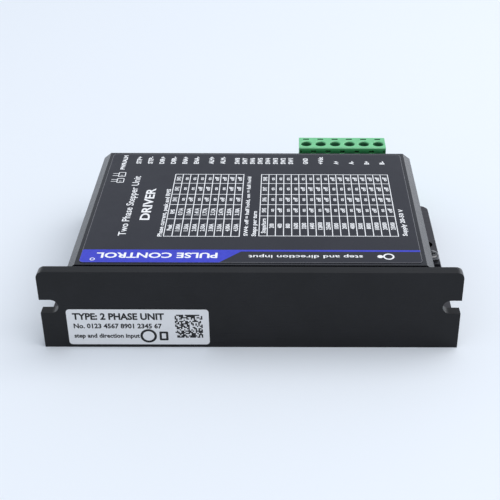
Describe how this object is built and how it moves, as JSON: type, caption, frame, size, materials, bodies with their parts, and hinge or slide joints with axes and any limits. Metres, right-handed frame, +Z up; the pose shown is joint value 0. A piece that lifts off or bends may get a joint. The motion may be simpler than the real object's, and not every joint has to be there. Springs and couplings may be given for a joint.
{
  "type": "stepper motor driver module",
  "caption": "Two-phase stepper motor driver: sheet-metal case on an L-shaped heat sink, with pluggable screw terminals, setting switches and status lights.",
  "frame": {"origin": "centre of the underside of the heat sink's base plate", "axes": "+Z up out of the base plate, +Y towards the connector side, -Y out of the mounting flange, X along the length"},
  "size_m": [0.118, 0.0959, 0.0255],
  "materials": {
    "black_anodised": "satin black anodised aluminium extrusion",
    "cover_paint": "fine matt powder coat on bent sheet",
    "plated_steel": "bright zinc-plated steel",
    "silicone_pad": "soft matt silicone",
    "board_laminate": "green solder mask on glass laminate",
    "chip_epoxy": "moulded epoxy",
    "capacitor_sleeve": "shrunk plastic sleeve",
    "resistor_ceramic": "lacquered ceramic",
    "ferrite": "sintered ferrite",
    "led_resin": "clear tinted resin",
    "switch_plastic": "moulded plastic",
    "slider_plastic": "moulded plastic",
    "header_plastic": "moulded polyamide",
    "plug_plastic": "moulded polyamide",
    "tinned_brass": "tin-plated",
    "clamp_steel": "nickel-plated steel",
    "printed_film": "matt printed film",
    "silver_film": "satin silver film"
  },
  "bodies": {
    "chassis": {"heat_sink": "black_anodised", "top_cover": "cover_paint", "case_screws": "plated_steel", "thermal_pad": "silicone_pad", "circuit_board": "board_laminate", "output_transistors": "chip_epoxy", "bulk_capacitors": "capacitor_sleeve", "driver_chips": "chip_epoxy", "optocouplers": "chip_epoxy", "sense_resistors": "resistor_ceramic", "buck_inductor": "ferrite", "status_leds": "led_resin", "switch_housing": "switch_plastic", "power_header": "header_plastic", "signal_headers": "header_plastic", "header_pins": "tinned_brass", "top_label": "printed_film", "rating_label": "silver_film"},
    "switch_slider_1": {"switch_slider_1": "slider_plastic"},
    "switch_slider_2": {"switch_slider_2": "slider_plastic"},
    "switch_slider_3": {"switch_slider_3": "slider_plastic"},
    "switch_slider_4": {"switch_slider_4": "slider_plastic"},
    "switch_slider_5": {"switch_slider_5": "slider_plastic"},
    "switch_slider_6": {"switch_slider_6": "slider_plastic"},
    "switch_slider_7": {"switch_slider_7": "slider_plastic"},
    "switch_slider_8": {"switch_slider_8": "slider_plastic"},
    "power_plug": {"power_plug": "plug_plastic", "power_contacts": "tinned_brass"},
    "signal_plug": {"signal_plug": "plug_plastic", "signal_contacts": "tinned_brass"},
    "alarm_plug": {"alarm_plug": "plug_plastic", "alarm_contacts": "tinned_brass"},
    "power_screw_1": {"power_screw_1": "plated_steel"},
    "power_clamp_1": {"power_clamp_1": "clamp_steel"},
    "power_screw_2": {"power_screw_2": "plated_steel"},
    "power_clamp_2": {"power_clamp_2": "clamp_steel"},
    "power_screw_3": {"power_screw_3": "plated_steel"},
    "power_clamp_3": {"power_clamp_3": "clamp_steel"},
    "power_screw_4": {"power_screw_4": "plated_steel"},
    "power_clamp_4": {"power_clamp_4": "clamp_steel"},
    "power_screw_5": {"power_screw_5": "plated_steel"},
    "power_clamp_5": {"power_clamp_5": "clamp_steel"},
    "power_screw_6": {"power_screw_6": "plated_steel"},
    "power_clamp_6": {"power_clamp_6": "clamp_steel"},
    "signal_screw_1": {"signal_screw_1": "plated_steel"},
    "signal_clamp_1": {"signal_clamp_1": "clamp_steel"},
    "signal_screw_2": {"signal_screw_2": "plated_steel"},
    "signal_clamp_2": {"signal_clamp_2": "clamp_steel"},
    "signal_screw_3": {"signal_screw_3": "plated_steel"},
    "signal_clamp_3": {"signal_clamp_3": "clamp_steel"},
    "signal_screw_4": {"signal_screw_4": "plated_steel"},
    "signal_clamp_4": {"signal_clamp_4": "clamp_steel"},
    "signal_screw_5": {"signal_screw_5": "plated_steel"},
    "signal_clamp_5": {"signal_clamp_5": "clamp_steel"},
    "signal_screw_6": {"signal_screw_6": "plated_steel"},
    "signal_clamp_6": {"signal_clamp_6": "clamp_steel"},
    "alarm_screw_1": {"alarm_screw_1": "plated_steel"},
    "alarm_clamp_1": {"alarm_clamp_1": "clamp_steel"},
    "alarm_screw_2": {"alarm_screw_2": "plated_steel"},
    "alarm_clamp_2": {"alarm_clamp_2": "clamp_steel"}
  },
  "joints": [
    {"name": "switch_1_slide", "type": "slide", "parent": "chassis", "child": "switch_slider_1", "axis": [0, 0, 1], "range_m": [0, 0.0019]},
    {"name": "switch_2_slide", "type": "slide", "parent": "chassis", "child": "switch_slider_2", "axis": [0, 0, 1], "range_m": [0, 0.0019]},
    {"name": "switch_3_slide", "type": "slide", "parent": "chassis", "child": "switch_slider_3", "axis": [0, 0, 1], "range_m": [0, 0.0019]},
    {"name": "switch_4_slide", "type": "slide", "parent": "chassis", "child": "switch_slider_4", "axis": [0, 0, 1], "range_m": [0, 0.0019]},
    {"name": "switch_5_slide", "type": "slide", "parent": "chassis", "child": "switch_slider_5", "axis": [0, 0, 1], "range_m": [0, 0.0019]},
    {"name": "switch_6_slide", "type": "slide", "parent": "chassis", "child": "switch_slider_6", "axis": [0, 0, 1], "range_m": [0, 0.0019]},
    {"name": "switch_7_slide", "type": "slide", "parent": "chassis", "child": "switch_slider_7", "axis": [0, 0, 1], "range_m": [0, 0.0019]},
    {"name": "switch_8_slide", "type": "slide", "parent": "chassis", "child": "switch_slider_8", "axis": [0, 0, 1], "range_m": [0, 0.0019]},
    {"name": "power_plug_pull", "type": "slide", "parent": "chassis", "child": "power_plug", "axis": [0, 1, 0], "range_m": [0, 0.02]},
    {"name": "signal_plug_pull", "type": "slide", "parent": "chassis", "child": "signal_plug", "axis": [0, 1, 0], "range_m": [0, 0.02]},
    {"name": "alarm_plug_pull", "type": "slide", "parent": "chassis", "child": "alarm_plug", "axis": [0, 1, 0], "range_m": [0, 0.02]},
    {"name": "power_screw_1_turn", "type": "hinge", "parent": "power_plug", "child": "power_screw_1", "pos_m": [0.0169, 0.0526, 0.0173], "axis": [0, 0, -1], "range_deg": [0, 2160]},
    {"name": "power_clamp_1_rise", "type": "slide", "parent": "power_plug", "child": "power_clamp_1", "axis": [0, 0, 1], "range_m": [0, 0.003]},
    {"name": "power_screw_2_turn", "type": "hinge", "parent": "power_plug", "child": "power_screw_2", "pos_m": [0.02198, 0.0526, 0.0173], "axis": [0, 0, -1], "range_deg": [0, 2160]},
    {"name": "power_clamp_2_rise", "type": "slide", "parent": "power_plug", "child": "power_clamp_2", "axis": [0, 0, 1], "range_m": [0, 0.003]},
    {"name": "power_screw_3_turn", "type": "hinge", "parent": "power_plug", "child": "power_screw_3", "pos_m": [0.02706, 0.0526, 0.0173], "axis": [0, 0, -1], "range_deg": [0, 2160]},
    {"name": "power_clamp_3_rise", "type": "slide", "parent": "power_plug", "child": "power_clamp_3", "axis": [0, 0, 1], "range_m": [0, 0.003]},
    {"name": "power_screw_4_turn", "type": "hinge", "parent": "power_plug", "child": "power_screw_4", "pos_m": [0.03214, 0.0526, 0.0173], "axis": [0, 0, -1], "range_deg": [0, 2160]},
    {"name": "power_clamp_4_rise", "type": "slide", "parent": "power_plug", "child": "power_clamp_4", "axis": [0, 0, 1], "range_m": [0, 0.003]},
    {"name": "power_screw_5_turn", "type": "hinge", "parent": "power_plug", "child": "power_screw_5", "pos_m": [0.03722, 0.0526, 0.0173], "axis": [0, 0, -1], "range_deg": [0, 2160]},
    {"name": "power_clamp_5_rise", "type": "slide", "parent": "power_plug", "child": "power_clamp_5", "axis": [0, 0, 1], "range_m": [0, 0.003]},
    {"name": "power_screw_6_turn", "type": "hinge", "parent": "power_plug", "child": "power_screw_6", "pos_m": [0.0423, 0.0526, 0.0173], "axis": [0, 0, -1], "range_deg": [0, 2160]},
    {"name": "power_clamp_6_rise", "type": "slide", "parent": "power_plug", "child": "power_clamp_6", "axis": [0, 0, 1], "range_m": [0, 0.003]},
    {"name": "signal_screw_1_turn", "type": "hinge", "parent": "signal_plug", "child": "signal_screw_1", "pos_m": [-0.03913, 0.04175, 0.0153], "axis": [0, 0, -1], "range_deg": [0, 1800]},
    {"name": "signal_clamp_1_rise", "type": "slide", "parent": "signal_plug", "child": "signal_clamp_1", "axis": [0, 0, 1], "range_m": [0, 0.002]},
    {"name": "signal_screw_2_turn", "type": "hinge", "parent": "signal_plug", "child": "signal_screw_2", "pos_m": [-0.03531, 0.04175, 0.0153], "axis": [0, 0, -1], "range_deg": [0, 1800]},
    {"name": "signal_clamp_2_rise", "type": "slide", "parent": "signal_plug", "child": "signal_clamp_2", "axis": [0, 0, 1], "range_m": [0, 0.002]},
    {"name": "signal_screw_3_turn", "type": "hinge", "parent": "signal_plug", "child": "signal_screw_3", "pos_m": [-0.0315, 0.04175, 0.0153], "axis": [0, 0, -1], "range_deg": [0, 1800]},
    {"name": "signal_clamp_3_rise", "type": "slide", "parent": "signal_plug", "child": "signal_clamp_3", "axis": [0, 0, 1], "range_m": [0, 0.002]},
    {"name": "signal_screw_4_turn", "type": "hinge", "parent": "signal_plug", "child": "signal_screw_4", "pos_m": [-0.0277, 0.04175, 0.0153], "axis": [0, 0, -1], "range_deg": [0, 1800]},
    {"name": "signal_clamp_4_rise", "type": "slide", "parent": "signal_plug", "child": "signal_clamp_4", "axis": [0, 0, 1], "range_m": [0, 0.002]},
    {"name": "signal_screw_5_turn", "type": "hinge", "parent": "signal_plug", "child": "signal_screw_5", "pos_m": [-0.02388, 0.04175, 0.0153], "axis": [0, 0, -1], "range_deg": [0, 1800]},
    {"name": "signal_clamp_5_rise", "type": "slide", "parent": "signal_plug", "child": "signal_clamp_5", "axis": [0, 0, 1], "range_m": [0, 0.002]},
    {"name": "signal_screw_6_turn", "type": "hinge", "parent": "signal_plug", "child": "signal_screw_6", "pos_m": [-0.02007, 0.04175, 0.0153], "axis": [0, 0, -1], "range_deg": [0, 1800]},
    {"name": "signal_clamp_6_rise", "type": "slide", "parent": "signal_plug", "child": "signal_clamp_6", "axis": [0, 0, 1], "range_m": [0, 0.002]},
    {"name": "alarm_screw_1_turn", "type": "hinge", "parent": "alarm_plug", "child": "alarm_screw_1", "pos_m": [-0.01511, 0.04175, 0.0153], "axis": [0, 0, -1], "range_deg": [0, 1800]},
    {"name": "alarm_clamp_1_rise", "type": "slide", "parent": "alarm_plug", "child": "alarm_clamp_1", "axis": [0, 0, 1], "range_m": [0, 0.002]},
    {"name": "alarm_screw_2_turn", "type": "hinge", "parent": "alarm_plug", "child": "alarm_screw_2", "pos_m": [-0.01129, 0.04175, 0.0153], "axis": [0, 0, -1], "range_deg": [0, 1800]},
    {"name": "alarm_clamp_2_rise", "type": "slide", "parent": "alarm_plug", "child": "alarm_clamp_2", "axis": [0, 0, 1], "range_m": [0, 0.002]}
  ],
  "couplings": [
    {"joint": "power_screw_1_turn", "follows": "power_clamp_1_rise", "rad_per_m": 12566},
    {"joint": "power_screw_2_turn", "follows": "power_clamp_2_rise", "rad_per_m": 12566},
    {"joint": "power_screw_3_turn", "follows": "power_clamp_3_rise", "rad_per_m": 12566},
    {"joint": "power_screw_4_turn", "follows": "power_clamp_4_rise", "rad_per_m": 12566},
    {"joint": "power_screw_5_turn", "follows": "power_clamp_5_rise", "rad_per_m": 12566},
    {"joint": "power_screw_6_turn", "follows": "power_clamp_6_rise", "rad_per_m": 12566},
    {"joint": "signal_screw_1_turn", "follows": "signal_clamp_1_rise", "rad_per_m": 15708},
    {"joint": "signal_screw_2_turn", "follows": "signal_clamp_2_rise", "rad_per_m": 15708},
    {"joint": "signal_screw_3_turn", "follows": "signal_clamp_3_rise", "rad_per_m": 15708},
    {"joint": "signal_screw_4_turn", "follows": "signal_clamp_4_rise", "rad_per_m": 15708},
    {"joint": "signal_screw_5_turn", "follows": "signal_clamp_5_rise", "rad_per_m": 15708},
    {"joint": "signal_screw_6_turn", "follows": "signal_clamp_6_rise", "rad_per_m": 15708},
    {"joint": "alarm_screw_1_turn", "follows": "alarm_clamp_1_rise", "rad_per_m": 15708},
    {"joint": "alarm_screw_2_turn", "follows": "alarm_clamp_2_rise", "rad_per_m": 15708}
  ]
}
